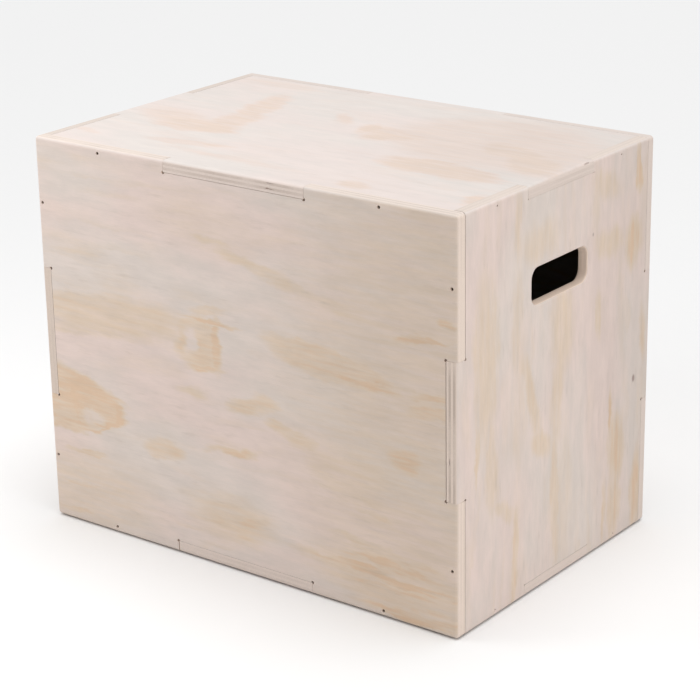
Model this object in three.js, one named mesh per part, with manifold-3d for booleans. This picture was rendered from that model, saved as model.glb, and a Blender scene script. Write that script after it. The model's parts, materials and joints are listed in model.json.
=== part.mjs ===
// A three-height plywood jump box: six panels, cut on a router, that lock together with one
// centre tab on every edge and are drawn tight with trim-head screws.
// Millimetres, +Z up. The origin is at the middle of the base, and the front panel faces -Y.

import * as THREE from "three";
import { RoundedBoxGeometry } from "three/addons/geometries/RoundedBoxGeometry.js";
import { mergeVertices } from "three/addons/utils/BufferGeometryUtils.js";
import Module from "manifold-3d";

const wasm = await Module();
wasm.setup();

// Driving dimensions. The three outer sizes are the three heights that the box can stand at.
const WIDTH = 762;
const DEPTH = 508;
const HEIGHT = 610;
const PLY = 18;
const EDGE_RADIUS = 6;
const EDGE_STEPS = 2;

// Joints: every tab and notch takes the middle third of its edge. A concave corner may have the
// round relief that the router bit leaves, so that a square tab can seat right into it. These are
// its radii at a notch's inner corners and at a tab's shoulders, and 0 is a square corner.
const JOINT_GAP = 0.4;
const FACE_PANEL_RELIEF = { notch: 2.5, shoulder: 0 };
const END_PANEL_RELIEF = { notch: 1, shoulder: 2.2 };
const LEVEL_PANEL_RELIEF = { notch: 0, shoulder: 0 };

// Hand slot in each end panel: one through opening with round corners and eased rims.
const SLOT_LENGTH = 146;
const SLOT_HEIGHT = 54;
const SLOT_CORNER_RADIUS = 16;
const SLOT_CENTRE_BELOW_TOP = 148;
const SLOT_RIM_RADIUS = 3;
const SLOT_RIM_STEPS = 2;

// Trim-head screws, sunk below the face, and the bores that they sit in.
const SCREW_LENGTH = 45;
const SCREW_HEAD_RADIUS = 2.2;
const SCREW_HEAD_RIM = 1.2;
const SCREW_HEAD_HEIGHT = 3.2;
const SCREW_SHANK_RADIUS = 1.25;
const SCREW_THREAD_RADIUS = 1.7;
const SCREW_SMOOTH_LENGTH = 16;
const SCREW_TIP_LENGTH = 5;
const SCREW_INSET = 2.5;
const DRIVE_WIDTH = 2;
const DRIVE_DEPTH = 1.6;
const FACE_BORE_RADIUS = 2.5;
const EDGE_BORE_RADIUS = 2;
const EDGE_BORE_SPARE = 1;

const CURVE_STEPS = 8;
const SCREW_STEPS = 8;

const X = new THREE.Vector3(1, 0, 0);
const Y = new THREE.Vector3(0, 1, 0);
const Z = new THREE.Vector3(0, 0, 1);

// ---- Solids: booleans on closed meshes ----

function toSolid(geometry) {
  const bare = geometry.clone();
  bare.deleteAttribute("normal");
  bare.deleteAttribute("uv");
  const welded = mergeVertices(bare, 1e-4);
  const vertProperties = Float32Array.from(welded.attributes.position.array);
  const triVerts = Uint32Array.from(welded.index.array);
  return new wasm.Manifold(new wasm.Mesh({ numProp: 3, vertProperties, triVerts }));
}

function toGeometry(solid) {
  const mesh = solid.getMesh();
  const geometry = new THREE.BufferGeometry();
  geometry.setAttribute("position", new THREE.BufferAttribute(mesh.vertProperties, 3));
  geometry.setIndex(new THREE.BufferAttribute(mesh.triVerts, 1));
  geometry.computeVertexNormals();
  return geometry;
}

// The outer envelope, whose round edges run on over every panel and tab.
const envelope = toSolid(
  new RoundedBoxGeometry(WIDTH, DEPTH, HEIGHT, EDGE_STEPS, EDGE_RADIUS).translate(0, 0, HEIGHT / 2),
);

// ---- Panel outlines, drawn about their own centre ----

// One corner of an outline, with its relief if it has one.
function addCorner(path, corner) {
  if (!corner.relief) {
    path.lineTo(corner.point.x, corner.point.y);
    return;
  }
  const { x, y } = corner.point;
  const startX = x - corner.arriving.x * corner.relief;
  const startY = y - corner.arriving.y * corner.relief;
  const startAngle = Math.atan2(startY - y, startX - x);
  path.lineTo(startX, startY);
  path.absarc(x, y, corner.relief, startAngle, startAngle - 1.5 * Math.PI, true);
}

// The corners along one edge, which runs along `along` with the panel on its left.
// A notched edge keeps the outer line and is cut in; a tabbed edge steps back either side.
function edgeCorners(kind, length, outerLine, along, outward, relief) {
  const at = (run, rise) =>
    along.clone().multiplyScalar(run).addScaledVector(outward, outerLine + rise);
  const step = -(PLY + JOINT_GAP);
  const inward = outward.clone().negate();
  if (kind === "notch") {
    const half = length / 6 + JOINT_GAP;
    return [
      { point: at(-half, 0) },
      { point: at(-half, step), relief: relief.notch, arriving: inward },
      { point: at(half, step), relief: relief.notch, arriving: along },
      { point: at(half, 0) },
    ];
  }
  const half = length / 6;
  return [
    { point: at(-half, step), relief: relief.shoulder, arriving: along },
    { point: at(-half, 0) },
    { point: at(half, 0) },
    { point: at(half, step), relief: relief.shoulder, arriving: inward },
  ];
}

// A panel outline of the full size `across` by `up`, with one kind of edge on the two ends
// and one on the top and bottom. The path runs anticlockwise from the bottom left corner.
function panelShape(across, up, endKind, sillKind, relief) {
  const setback = (kind) => (kind === "tab" ? PLY + JOINT_GAP : 0);
  const halfAcross = across / 2 - setback(endKind);
  const halfUp = up / 2 - setback(sillKind);
  const right = new THREE.Vector2(1, 0);
  const top = new THREE.Vector2(0, 1);
  const left = new THREE.Vector2(-1, 0);
  const bottom = new THREE.Vector2(0, -1);
  const corners = [
    { point: new THREE.Vector2(-halfAcross, -halfUp) },
    ...edgeCorners(sillKind, across, up / 2, right, bottom, relief),
    { point: new THREE.Vector2(halfAcross, -halfUp) },
    ...edgeCorners(endKind, up, across / 2, top, right, relief),
    { point: new THREE.Vector2(halfAcross, halfUp) },
    ...edgeCorners(sillKind, across, up / 2, left, top, relief),
    { point: new THREE.Vector2(-halfAcross, halfUp) },
    ...edgeCorners(endKind, up, across / 2, bottom, left, relief),
  ];
  const shape = new THREE.Shape();
  shape.moveTo(corners[0].point.x, corners[0].point.y);
  corners.slice(1).forEach((corner) => addCorner(shape, corner));
  return shape;
}

function addRoundHole(shape, across, up) {
  const hole = new THREE.Path();
  hole.absarc(across, up, FACE_BORE_RADIUS, 0, 2 * Math.PI, true);
  shape.holes.push(hole);
}

// ---- Hand slot: a cutter with a flared mouth on both faces, so that the rims are eased ----

function slotOutline(grow) {
  const halfLength = SLOT_LENGTH / 2 + grow;
  const halfHeight = SLOT_HEIGHT / 2 + grow;
  const radius = SLOT_CORNER_RADIUS + grow;
  const outline = new THREE.Shape();
  outline.absarc(halfLength - radius, -halfHeight + radius, radius, -Math.PI / 2, 0, false);
  outline.absarc(halfLength - radius, halfHeight - radius, radius, 0, Math.PI / 2, false);
  outline.absarc(-halfLength + radius, halfHeight - radius, radius, Math.PI / 2, Math.PI, false);
  outline.absarc(-halfLength + radius, -halfHeight + radius, radius, Math.PI, 1.5 * Math.PI, false);
  return outline;
}

// The cutter is one mesh lofted through a stack of outlines, each with the same number of points.
// It runs from just inside the panel to just outside it along +Z.
function slotCutter() {
  const rings = [{ grow: SLOT_RIM_RADIUS, height: -1 }];
  for (let i = 0; i <= SLOT_RIM_STEPS; i += 1) {
    const angle = (i / SLOT_RIM_STEPS) * (Math.PI / 2);
    const grow = SLOT_RIM_RADIUS * (1 - Math.sin(angle));
    rings.push({ grow, height: SLOT_RIM_RADIUS * (1 - Math.cos(angle)) });
  }
  const innerHalf = rings.slice();
  innerHalf.reverse().forEach(({ grow, height }) => rings.push({ grow, height: PLY - height }));
  const outlines = rings.map(({ grow }) => slotOutline(grow).extractPoints(CURVE_STEPS / 2).shape);
  const count = outlines[0].length;
  const positions = [];
  outlines.forEach((outline, i) => {
    outline.forEach(({ x, y }) => positions.push(x, y, rings[i].height));
  });
  const lowerMiddle = positions.push(0, 0, rings[0].height) / 3 - 1;
  const upperMiddle = positions.push(0, 0, rings[rings.length - 1].height) / 3 - 1;
  const lastRing = (rings.length - 1) * count;
  const indices = [];
  for (let j = 0; j < count; j += 1) {
    const next = (j + 1) % count;
    indices.push(lowerMiddle, next, j);
    indices.push(upperMiddle, lastRing + j, lastRing + next);
    for (let i = 0; i < rings.length - 1; i += 1) {
      const low = i * count;
      const high = low + count;
      indices.push(low + j, low + next, high + next);
      indices.push(low + j, high + next, high + j);
    }
  }
  const geometry = new THREE.BufferGeometry();
  geometry.setAttribute("position", new THREE.Float32BufferAttribute(positions, 3));
  geometry.setIndex(indices);
  return geometry;
}

// ---- Screw places ----

// Screws sit in the outer thirds of an edge, half a board in from it. `fixings` holds, for each
// screw, the point on the outer face and the outward direction there.
const HALF_BOARD = PLY / 2;
const wideRun = WIDTH / 3;
const tallRun = HEIGHT / 3;
const endRun = (DEPTH / 2 - PLY + DEPTH / 6) / 2;
const sides = [-1, 1];

function facePanelFixings(prefix, facing) {
  const outward = Y.clone().multiplyScalar(facing);
  const y = (facing * DEPTH) / 2;
  const fixings = [];
  for (const [level, z] of [["lower", HALF_BOARD], ["upper", HEIGHT - HALF_BOARD]]) {
    for (const side of sides) {
      const hand = side < 0 ? "left" : "right";
      const point = new THREE.Vector3(side * wideRun, y, z);
      fixings.push({ name: `${prefix}_${level}_edge_${hand}_screw`, point, outward });
    }
  }
  for (const side of sides) {
    const hand = side < 0 ? "left" : "right";
    for (const [level, rise] of [["lower", -tallRun], ["upper", tallRun]]) {
      const x = side * (WIDTH / 2 - HALF_BOARD);
      const point = new THREE.Vector3(x, y, HEIGHT / 2 + rise);
      fixings.push({ name: `${prefix}_${hand}_edge_${level}_screw`, point, outward });
    }
  }
  return fixings;
}

function endPanelFixings(prefix, facing) {
  const outward = X.clone().multiplyScalar(facing);
  const x = (facing * WIDTH) / 2;
  const fixings = [];
  for (const [level, z] of [["lower", HALF_BOARD], ["upper", HEIGHT - HALF_BOARD]]) {
    for (const [place, y] of [["front", -endRun], ["rear", endRun]]) {
      const point = new THREE.Vector3(x, y, z);
      fixings.push({ name: `${prefix}_${level}_edge_${place}_screw`, point, outward });
    }
  }
  return fixings;
}

const frontFixings = facePanelFixings("front", -1);
const backFixings = facePanelFixings("back", 1);
const leftFixings = endPanelFixings("left", -1);
const rightFixings = endPanelFixings("right", 1);
const allFixings = [...frontFixings, ...backFixings, ...leftFixings, ...rightFixings];

// ---- Panels ----

// Turns a local frame, with across, up and the board's thickness, into the model's frame.
function boardFrame(across, up, innerFace) {
  const thickness = new THREE.Vector3().crossVectors(across, up);
  return new THREE.Matrix4().makeBasis(across, up, thickness).setPosition(innerFace);
}

// Cuts the bores that the screws' threads sit in, where they enter this panel's edges.
function edgeBores(fixings) {
  return fixings.map(({ point, outward }) => {
    const length = SCREW_LENGTH + SCREW_INSET + EDGE_BORE_SPARE - PLY;
    const bore = new THREE.CylinderGeometry(
      EDGE_BORE_RADIUS, EDGE_BORE_RADIUS, length + 1, SCREW_STEPS,
    );
    const turn = new THREE.Quaternion().setFromUnitVectors(Y, outward);
    const middle = point.clone().addScaledVector(outward, -PLY + 0.5 - length / 2);
    return toSolid(bore.applyQuaternion(turn).translate(middle.x, middle.y, middle.z));
  });
}

function panelSolid(shape, frame, cutters) {
  const board = new THREE.ExtrudeGeometry(shape, {
    depth: PLY,
    bevelEnabled: false,
    curveSegments: CURVE_STEPS,
  });
  let solid = toSolid(board.applyMatrix4(frame)).intersect(envelope);
  for (const cutter of cutters) {
    solid = solid.subtract(cutter);
  }
  return solid;
}

// Front and back: full-size faces, notched on all four edges, with a row of fixings round them.
function facePanel(facing, fixings) {
  const across = X.clone().multiplyScalar(-facing);
  const shape = panelShape(WIDTH, HEIGHT, "notch", "notch", FACE_PANEL_RELIEF);
  fixings.forEach(({ point }) => addRoundHole(shape, point.dot(across), point.z - HEIGHT / 2));
  const innerFace = new THREE.Vector3(0, facing * (DEPTH / 2 - PLY), HEIGHT / 2);
  return panelSolid(shape, boardFrame(across, Z, innerFace), []);
}

// Ends: full height with relieved tabs into the front and back, notched above and below.
function endPanel(facing, fixings) {
  const across = Y.clone().multiplyScalar(facing);
  const shape = panelShape(DEPTH, HEIGHT, "tab", "notch", END_PANEL_RELIEF);
  fixings.forEach(({ point }) => addRoundHole(shape, point.dot(across), point.z - HEIGHT / 2));
  const innerFace = new THREE.Vector3(facing * (WIDTH / 2 - PLY), 0, HEIGHT / 2);
  const frame = boardFrame(across, Z, innerFace);
  const slotRise = HEIGHT / 2 - SLOT_CENTRE_BELOW_TOP;
  const slot = toSolid(slotCutter().translate(0, slotRise, 0).applyMatrix4(frame));
  const entering = [...frontFixings, ...backFixings].filter(({ point }) => {
    return Math.sign(point.x) === facing && Math.abs(point.x) > WIDTH / 2 - PLY;
  });
  return panelSolid(shape, frame, [slot, ...edgeBores(entering)]);
}

// Top and base: square tabs on all four edges. Their fixings come in through the other panels.
function levelPanel(facing) {
  const across = X.clone().multiplyScalar(facing);
  const shape = panelShape(WIDTH, DEPTH, "tab", "tab", LEVEL_PANEL_RELIEF);
  const middle = HEIGHT / 2;
  const innerFace = new THREE.Vector3(0, 0, middle + facing * (middle - PLY));
  const entering = allFixings.filter(({ point }) => {
    return (point.z - middle) * facing > middle - PLY;
  });
  return panelSolid(shape, boardFrame(across, Y, innerFace), edgeBores(entering));
}

// ---- Screws ----

// A screw about its own axis, with its head's top at the origin and its tip along -Z.
function screwGeometry() {
  const profile = [
    [0, -SCREW_LENGTH],
    [SCREW_THREAD_RADIUS, -SCREW_LENGTH + SCREW_TIP_LENGTH],
    [SCREW_THREAD_RADIUS, -SCREW_SMOOTH_LENGTH],
    [SCREW_SHANK_RADIUS, -SCREW_SMOOTH_LENGTH],
    [SCREW_SHANK_RADIUS, -SCREW_HEAD_HEIGHT],
    [SCREW_HEAD_RADIUS, -SCREW_HEAD_RIM],
    [SCREW_HEAD_RADIUS, 0],
    [0, 0],
  ].map(([radius, height]) => new THREE.Vector2(radius, height));
  const body = toSolid(new THREE.LatheGeometry(profile, SCREW_STEPS).rotateX(Math.PI / 2));
  const drive = new THREE.BoxGeometry(DRIVE_WIDTH, DRIVE_WIDTH, 2 * DRIVE_DEPTH);
  return toGeometry(body.subtract(toSolid(drive)));
}

// ---- The assembled box ----

function panelMesh(name, solid) {
  const material = new THREE.MeshStandardMaterial({ color: 0xdccdc0, roughness: 0.72 });
  const mesh = new THREE.Mesh(toGeometry(solid), material);
  mesh.name = name;
  return mesh;
}

const screw = screwGeometry();

function screwMesh({ name, point, outward }) {
  const material = new THREE.MeshStandardMaterial({
    color: 0x2b2927,
    roughness: 0.45,
    metalness: 0.9,
  });
  const mesh = new THREE.Mesh(screw, material);
  mesh.name = name;
  mesh.quaternion.setFromUnitVectors(Z, outward);
  mesh.position.copy(point).addScaledVector(outward, -SCREW_INSET);
  return mesh;
}

const jumpBox = new THREE.Group();
jumpBox.add(
  panelMesh("front_panel", facePanel(-1, frontFixings)),
  panelMesh("back_panel", facePanel(1, backFixings)),
  panelMesh("left_end_panel", endPanel(-1, leftFixings)),
  panelMesh("right_end_panel", endPanel(1, rightFixings)),
  panelMesh("top_panel", levelPanel(1)),
  panelMesh("bottom_panel", levelPanel(-1)),
);
jumpBox.add(...allFixings.map(screwMesh));

export default jumpBox;
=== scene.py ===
"""Looks for a plywood jump box: six router-cut boards that lock with a centre tab on every edge.

Metres, +Z up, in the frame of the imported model. Every board and screw is rebuilt here with fine
edges in the place of its plain CAD solid, and gets a procedural pine plywood or steel finish.
"""

import json
import math

import bmesh
import bpy
from mathutils import Matrix, Vector, noise


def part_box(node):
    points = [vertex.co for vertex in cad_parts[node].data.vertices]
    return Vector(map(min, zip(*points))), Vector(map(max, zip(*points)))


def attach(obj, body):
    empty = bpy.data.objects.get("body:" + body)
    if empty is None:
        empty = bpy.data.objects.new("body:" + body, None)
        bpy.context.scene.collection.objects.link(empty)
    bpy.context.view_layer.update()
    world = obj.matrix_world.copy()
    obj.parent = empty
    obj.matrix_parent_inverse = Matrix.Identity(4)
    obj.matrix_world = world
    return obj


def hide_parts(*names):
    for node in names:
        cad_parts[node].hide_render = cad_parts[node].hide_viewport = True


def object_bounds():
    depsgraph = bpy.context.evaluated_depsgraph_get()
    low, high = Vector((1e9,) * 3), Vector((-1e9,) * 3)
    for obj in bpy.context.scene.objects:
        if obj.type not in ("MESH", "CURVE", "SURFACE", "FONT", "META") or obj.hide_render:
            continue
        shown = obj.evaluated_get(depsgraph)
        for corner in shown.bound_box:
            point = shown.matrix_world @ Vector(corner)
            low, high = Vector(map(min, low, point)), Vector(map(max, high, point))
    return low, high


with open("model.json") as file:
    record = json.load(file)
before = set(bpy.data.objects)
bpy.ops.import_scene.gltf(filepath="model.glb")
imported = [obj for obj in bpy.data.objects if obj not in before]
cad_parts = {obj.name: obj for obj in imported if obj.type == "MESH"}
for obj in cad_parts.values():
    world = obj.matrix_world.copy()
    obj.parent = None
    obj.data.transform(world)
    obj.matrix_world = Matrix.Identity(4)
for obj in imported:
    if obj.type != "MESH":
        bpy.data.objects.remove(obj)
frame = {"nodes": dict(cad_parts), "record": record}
cad_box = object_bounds()

MM = 0.001

# Sizes taken from the frame.
BOX_LOW, BOX_HIGH = cad_box
BOX_SIZE = BOX_HIGH - BOX_LOW
BOX_MIDDLE = (BOX_LOW + BOX_HIGH) / 2
FRONT_FACE = BOX_LOW.y
RIGHT_FACE = BOX_HIGH.x
TOP_FACE = BOX_HIGH.z
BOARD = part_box("front_panel")[1].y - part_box("front_panel")[0].y
OPENINGS = {opening["name"]: opening["box_m"] for opening in frame["record"]["physics"]["openings"]}
SLOT_LOW, SLOT_HIGH = (Vector(corner) for corner in OPENINGS["right_hand_slot"])
SLOT_HEIGHT_ABOVE_BASE = (SLOT_LOW.z + SLOT_HIGH.z) / 2

# The boards' edges and joints.
PLIES = 5
PLY = BOARD / PLIES
OUTER_RADIUS = 6 * MM
OUTER_STEPS = 8
ARRIS = 0.4 * MM
ARRIS_STEPS = 2
RELIEF_STEPS = 24
JOINT_GAP = 0.08 * MM
BOARD_SMOOTH_LIMIT = 32

# How far a cutting shape runs past the face that it cuts, and how far a board's outer face stays
# inside the shape that rounds its edges, so that no two faces lie in one plane.
OVERRUN = 1 * MM
SKIN = 0.01 * MM

# The screw holes. The wood closes a little over the screws of the end panels.
SCREW_HOLE_RADIUS = 2.4 * MM
CLOSED_HOLE_RADIUS = 1.3 * MM
CLOSED_HOLE_DEPTH = 1.8 * MM
PILOT_RADIUS = 2 * MM
PILOT_SPARE = 1 * MM
HOLE_STEPS = 32

# The hand slots.
SLOT_LENGTH = 146 * MM
SLOT_HEIGHT = 54 * MM
SLOT_CORNER = 16 * MM
SLOT_CORNER_STEPS = 12
SLOT_RIM = 3 * MM
SLOT_RIM_STEPS = 6

# How ragged a gap in a core ply is: the wobble's share of its size, and how close the wobbles are.
VOID_WOBBLE = 0.35
VOID_WOBBLE_SCALE = 4
VOID_DETAIL = 3

# The trim-head screws. A thread's crest is given as half its width, in pitches.
SCREW_LENGTH = 45 * MM
HEAD_RADIUS = 2.2 * MM
HEAD_RIM = 1.2 * MM
HEAD_HEIGHT = 3.2 * MM
SHANK_RADIUS = 1.25 * MM
THREAD_RADIUS = 1.7 * MM
THREAD_PITCH = 2.1 * MM
SMOOTH_LENGTH = 16 * MM
THREAD_ROOT = 0.92 * SHANK_RADIUS
THREAD_CREST = 0.28
TIP_LENGTH = 5 * MM
TIP_ROUNDNESS = 0.8
TIP_BLUNTNESS = 0.02 * MM
HEAD_CHAMFER = 0.25 * MM
DRIVE_WIDTH = 2 * MM
DRIVE_DEPTH = 1.6 * MM
DRIVE_CORNER = 0.2 * MM
DRIVE_CORNER_STEPS = 3
DRIVE_TAPER = 0.15 * MM
SCREW_SIDES = 24
THREAD_STEPS = 8
HEAD_STEPS = 4
SCREW_SMOOTH_LIMIT = 40

X = Vector((1, 0, 0))
Y = Vector((0, 1, 0))
Z = Vector((0, 0, 1))


# ---- Mesh helpers ----

def new_object(name, mesh):
    made = bpy.data.objects.new(name, mesh)
    bpy.context.scene.collection.objects.link(made)
    return made


def mesh_from(body, name):
    bmesh.ops.recalc_face_normals(body, faces=body.faces)
    mesh = bpy.data.meshes.new(name)
    body.to_mesh(mesh)
    body.free()
    return mesh


def loft(name, rings):
    """A closed solid through a stack of rings that all have the same number of points."""
    body = bmesh.new()
    rows = [[body.verts.new(point) for point in ring] for ring in rings]
    count = len(rows[0])
    for low, high in zip(rows, rows[1:]):
        for i in range(count):
            after = (i + 1) % count
            body.faces.new((low[i], low[after], high[after], high[i]))
    body.faces.new(list(reversed(rows[0])))
    body.faces.new(rows[-1])
    return mesh_from(body, name)


def apply_modifiers(target):
    """Replaces the object's mesh by its evaluated mesh."""
    shown = target.evaluated_get(bpy.context.evaluated_depsgraph_get())
    final = bpy.data.meshes.new_from_object(shown)
    target.modifiers.clear()
    target.data = final


def boolean(target, operation, tool_mesh):
    tool = new_object("tool", tool_mesh)
    modifier = target.modifiers.new("cut", "BOOLEAN")
    modifier.operation = operation
    modifier.solver = "MANIFOLD"
    modifier.object = tool
    apply_modifiers(target)
    bpy.data.objects.remove(tool)


def smooth_shading(target, limit):
    """Smooth across every edge flatter than the limit in degrees, with large flat faces left flat."""
    target.data.shade_smooth()
    target.data.set_sharp_from_angle(angle=math.radians(limit))
    weighted = target.modifiers.new("flat faces", "WEIGHTED_NORMAL")
    weighted.mode = "FACE_AREA"
    weighted.keep_sharp = True
    apply_modifiers(target)


# ---- Outlines: anticlockwise lists of 2-D points ----

def arc(centre, radius, start, sweep, steps):
    """Points along an arc, both ends included. Angles are in degrees."""
    points = []
    for i in range(steps + 1):
        angle = math.radians(start + sweep * i / steps)
        points.append(centre + radius * Vector((math.cos(angle), math.sin(angle))))
    return points


def rounded_rectangle(across, up, radius, steps):
    points = []
    for quarter, (side, level) in enumerate(((1, 1), (-1, 1), (-1, -1), (1, -1))):
        centre = Vector((side * (across / 2 - radius), level * (up / 2 - radius)))
        points += arc(centre, radius, 90 * quarter, 90, steps)
    return points


def inset(outline, distance):
    """The outline moved inwards by a distance, point for point."""
    moved = []
    count = len(outline)
    for i, point in enumerate(outline):
        before = (point - outline[i - 1]).normalized()
        after = (outline[(i + 1) % count] - point).normalized()
        normal_before = Vector((-before.y, before.x))
        normal_after = Vector((-after.y, after.x))
        mitre = (normal_before + normal_after) / (1 + normal_before.dot(normal_after))
        moved.append(point + mitre * distance)
    return moved


def relief(corner, radius, arriving):
    """The three-quarter circle that the router bit leaves in a concave corner."""
    if radius == 0:
        return [corner]
    start = math.degrees(math.atan2(-arriving.y, -arriving.x))
    return arc(corner, radius, start, -270, RELIEF_STEPS)


def edge_outline(kind, length, line, along, outward, slack, reliefs):
    """One edge of a board, with a tab or a notch over its middle third.

    `line` is how far the box's outer face is from the board's middle. `slack` holds the gaps that
    the joint leaves.
    """
    def at(run, rise):
        return along * run + outward * (line + rise)

    half = length / 6
    step = -(BOARD + slack["depth"])
    if kind == "notch":
        start, end = -half - slack["start"], half + slack["end"]
        points = [at(start, OVERRUN)]
        points += relief(at(start, step), reliefs["notch"], -outward)
        points += relief(at(end, step), reliefs["notch"], along)
        points += [at(end, OVERRUN)]
        return points
    points = relief(at(-half, step), reliefs["shoulder"], along)
    points += [at(-half, OVERRUN), at(half, OVERRUN)]
    points += relief(at(half, step), reliefs["shoulder"], -outward)
    return points


def board_outline(board, slacks):
    """A whole board, anticlockwise from its lower left corner."""
    across, up = size_along(board["across"]) / 2, size_along(board["up"]) / 2
    right, top = Vector((1, 0)), Vector((0, 1))
    sides = (
        ("bottom", board["sills"], across, up, right, -top),
        ("right", board["ends"], up, across, top, right),
        ("top", board["sills"], across, up, -right, top),
        ("left", board["ends"], up, across, -top, -right),
    )
    reach = {}
    for name, kind, _, line, _, _ in sides:
        reach[name] = line + OVERRUN if kind == "notch" else line - BOARD - slacks[name]["depth"]
    corners = {
        "bottom": Vector((-reach["left"], -reach["bottom"])),
        "right": Vector((reach["right"], -reach["bottom"])),
        "top": Vector((reach["right"], reach["top"])),
        "left": Vector((-reach["left"], reach["top"])),
    }
    points = []
    for name, kind, half_length, line, along, outward in sides:
        points.append(corners[name])
        points += edge_outline(
            kind, 2 * half_length, line, along, outward, slacks[name], board["reliefs"],
        )
    return points


def eased_profile(thickness, radius, steps):
    """(offset, height) pairs through a thickness, with a quarter round at both faces."""
    lower = []
    for i in range(steps + 1):
        angle = math.pi / 2 * i / steps
        lower.append((radius * (1 - math.sin(angle)), radius * (1 - math.cos(angle))))
    upper = [(offset, thickness - height) for offset, height in reversed(lower)]
    return lower + upper


# ---- Boards ----

# The radii of the round reliefs in the concave corners. None is cut where a radius is 0.
FACE_RELIEFS = {"notch": 2.5 * MM, "shoulder": 0}
END_RELIEFS = {"notch": 1 * MM, "shoulder": 2.2 * MM}
LEVEL_RELIEFS = {"notch": 0, "shoulder": 0}
FACE_PANEL = {"up": Z, "ends": "notch", "sills": "notch", "reliefs": FACE_RELIEFS, "grain": "across"}
END_PANEL = {"up": Z, "ends": "tab", "sills": "notch", "reliefs": END_RELIEFS, "grain": "up"}
LEVEL_PANEL = {"up": Y, "ends": "tab", "sills": "tab", "reliefs": LEVEL_RELIEFS, "grain": "across"}
BOARDS = {
    "front_panel": {"across": X, **FACE_PANEL},
    "back_panel": {"across": -X, **FACE_PANEL},
    "left_end_panel": {"across": -Y, **END_PANEL},
    "right_end_panel": {"across": Y, **END_PANEL},
    "top_panel": {"across": X, **LEVEL_PANEL},
    "bottom_panel": {"across": -X, **LEVEL_PANEL},
}

# Joints that don't close up as tightly as the others, by board and edge. In a notch, the gaps are
# behind the neighbour's tab and past each end of it. Beside a tab, the depth is the shoulder's gap.
TIGHT = {"depth": JOINT_GAP, "start": JOINT_GAP, "end": JOINT_GAP}
EDGES = ("bottom", "right", "top", "left")
LOOSE_JOINTS = {
    ("front_panel", "right"): {"depth": 1.2 * MM, "start": 0.2 * MM, "end": 0.2 * MM},
    ("front_panel", "bottom"): {"depth": 0.12 * MM, "start": 1.8 * MM, "end": 0.2 * MM},
    ("front_panel", "top"): {"depth": 0.5 * MM, "start": 0.3 * MM, "end": 0.3 * MM},
    ("front_panel", "left"): {"depth": 0.3 * MM, "start": 0.2 * MM, "end": 0.2 * MM},
    ("right_end_panel", "left"): {"depth": 1.1 * MM, "start": 0, "end": 0},
}


def size_along(direction):
    return abs(BOX_SIZE.dot(direction))


def board_frame(board):
    """Turns across, up and height above the inner face into the model's frame."""
    outward = board["across"].cross(board["up"])
    centre = BOX_MIDDLE + outward * (size_along(outward) / 2 - BOARD)
    turn = Matrix((board["across"], board["up"], outward)).transposed().to_4x4()
    return Matrix.Translation(centre) @ turn


def lifted(outline, height):
    return [Vector((point.x, point.y, height)) for point in outline]


def outer_envelope():
    """The box's outside, whose round edges run on over every board and tab."""
    body = bmesh.new()
    bmesh.ops.create_cube(body, size=1)
    bmesh.ops.scale(body, vec=BOX_SIZE, verts=body.verts)
    bmesh.ops.translate(body, vec=BOX_MIDDLE, verts=body.verts)
    bmesh.ops.bevel(
        body, geom=body.edges[:], offset=OUTER_RADIUS, segments=OUTER_STEPS,
        profile=0.5, affect="EDGES",
    )
    return mesh_from(body, "outside")


def placed(mesh, matrix):
    mesh.transform(matrix)
    return mesh


def slot_cutter():
    """The hand slot's shape, about its own middle, with a round flare at both faces."""
    outline = rounded_rectangle(SLOT_LENGTH, SLOT_HEIGHT, SLOT_CORNER, SLOT_CORNER_STEPS)
    rings = [lifted(inset(outline, -SLOT_RIM), -OVERRUN)]
    for offset, height in eased_profile(BOARD, SLOT_RIM, SLOT_RIM_STEPS):
        rings.append(lifted(inset(outline, -offset), height))
    rings.append(lifted(inset(outline, -SLOT_RIM), BOARD + OVERRUN))
    return loft("slot", rings)


def hole_cutter(mouth):
    """A screw hole along +Z through a board, with an eased rim round a mouth of its own radius."""
    hole = arc(Vector((0, 0)), SCREW_HOLE_RADIUS, 0, 360, HOLE_STEPS)[:-1]
    neck = arc(Vector((0, 0)), mouth, 0, 360, HOLE_STEPS)[:-1]
    rim = inset(neck, -ARRIS)
    rings = [lifted(hole, -OVERRUN), lifted(hole, BOARD - CLOSED_HOLE_DEPTH)]
    rings += [lifted(neck, BOARD - CLOSED_HOLE_DEPTH + ARRIS), lifted(neck, BOARD - ARRIS)]
    rings += [lifted(rim, BOARD), lifted(rim, BOARD + OVERRUN)]
    return loft("hole", rings)


def screw_place(name):
    """The head's top and the outward direction of a screw, read from its CAD node."""
    low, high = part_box(name)
    size = high - low
    axis = max((X, Y, Z), key=size.dot)
    middle = (low + high) / 2
    outward = axis if (middle - BOX_MIDDLE).dot(axis) > 0 else -axis
    return middle + outward * size.dot(axis) / 2, outward


SCREWS = {name: screw_place(name) for name in frame["nodes"] if name.endswith("_screw")}


def turned_to(outward, origin):
    return Matrix.Translation(origin) @ outward.to_track_quat("Z", "Y").to_matrix().to_4x4()


def screw_cutters(outward):
    """Clearance holes for the screws that are driven inwards through a board."""
    cutters = []
    for head, direction in SCREWS.values():
        half = size_along(direction) / 2
        face = head + direction * (half - (head - BOX_MIDDLE).dot(direction))
        if direction.dot(outward) > 0.5:
            on_end_panel = abs(direction.x) > 0.5
            mouth = CLOSED_HOLE_RADIUS if on_end_panel else SCREW_HOLE_RADIUS
            cutters.append(placed(hole_cutter(mouth), turned_to(direction, face - direction * BOARD)))
    return cutters


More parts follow.
